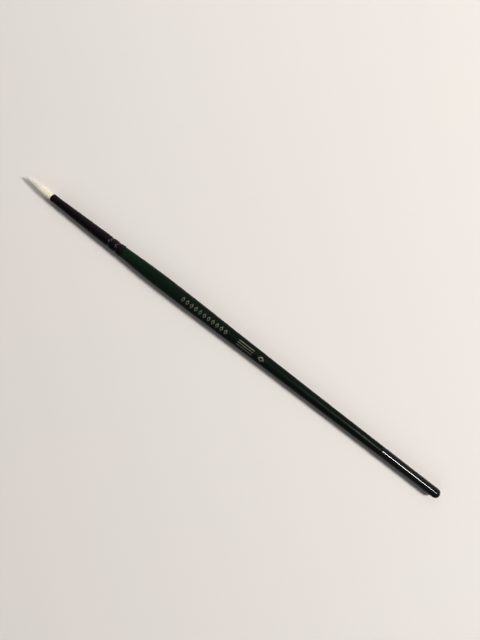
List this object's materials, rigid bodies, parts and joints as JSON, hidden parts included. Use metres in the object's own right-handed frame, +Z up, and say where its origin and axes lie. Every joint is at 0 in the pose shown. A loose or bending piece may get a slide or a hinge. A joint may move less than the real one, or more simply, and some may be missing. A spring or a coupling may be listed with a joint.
{
  "type": "fine detail brush",
  "caption": "Slim pointed round brush: a springy tuft that flexes every way, held in a tapered crimped ferrule on a turned, lacquered wooden handle with a dipped tail.",
  "frame": {"origin": "on the surface that the brush lies on, below the middle of its length", "axes": "+X along the brush from its point towards its tail, +Z up through the stamped side"},
  "size_m": [0.208, 0.0058, 0.0058],
  "materials": {
    "wood": "matte",
    "green_lacquer": "gloss",
    "black_dip": "gloss",
    "foil": "satin",
    "ferrule_metal": "satin",
    "cement": "matte",
    "resin": "matte",
    "thread": "matte",
    "filament_base": "matte",
    "filament": "matte"
  },
  "bodies": {
    "handle": {"handle_core": "wood", "green_lacquer": "green_lacquer", "tail_dip": "black_dip", "foil_mark": "foil", "ferrule": "ferrule_metal", "handle_cement": "cement", "root_plug": "resin", "binding_thread": "thread", "filament_roots": "filament_base"},
    "tuft_heel": {"tuft_heel": "filament"},
    "tuft_belly": {"tuft_belly": "filament"},
    "tuft_shoulder": {"tuft_shoulder": "filament"},
    "tuft_point": {"tuft_point": "filament"}
  },
  "joints": [
    {"name": "heel_bend", "type": "hinge", "parent": "handle", "child": "tuft_heel", "pos_m": [-0.0911, 0, 0.00288], "axis": [0, 1, 0], "range_deg": [-25, 25], "stiffness_Nm_per_rad": 0.003},
    {"name": "belly_sway", "type": "hinge", "parent": "tuft_heel", "child": "tuft_belly", "pos_m": [-0.0939, 0, 0.00288], "axis": [0, 0, 1], "range_deg": [-25, 25], "stiffness_Nm_per_rad": 0.003},
    {"name": "shoulder_bend", "type": "hinge", "parent": "tuft_belly", "child": "tuft_shoulder", "pos_m": [-0.0967, 0, 0.00288], "axis": [0, 1, 0], "range_deg": [-25, 25], "stiffness_Nm_per_rad": 0.0015},
    {"name": "point_sway", "type": "hinge", "parent": "tuft_shoulder", "child": "tuft_point", "pos_m": [-0.0995, 0, 0.00288], "axis": [0, 0, 1], "range_deg": [-25, 25], "stiffness_Nm_per_rad": 0.0008}
  ]
}
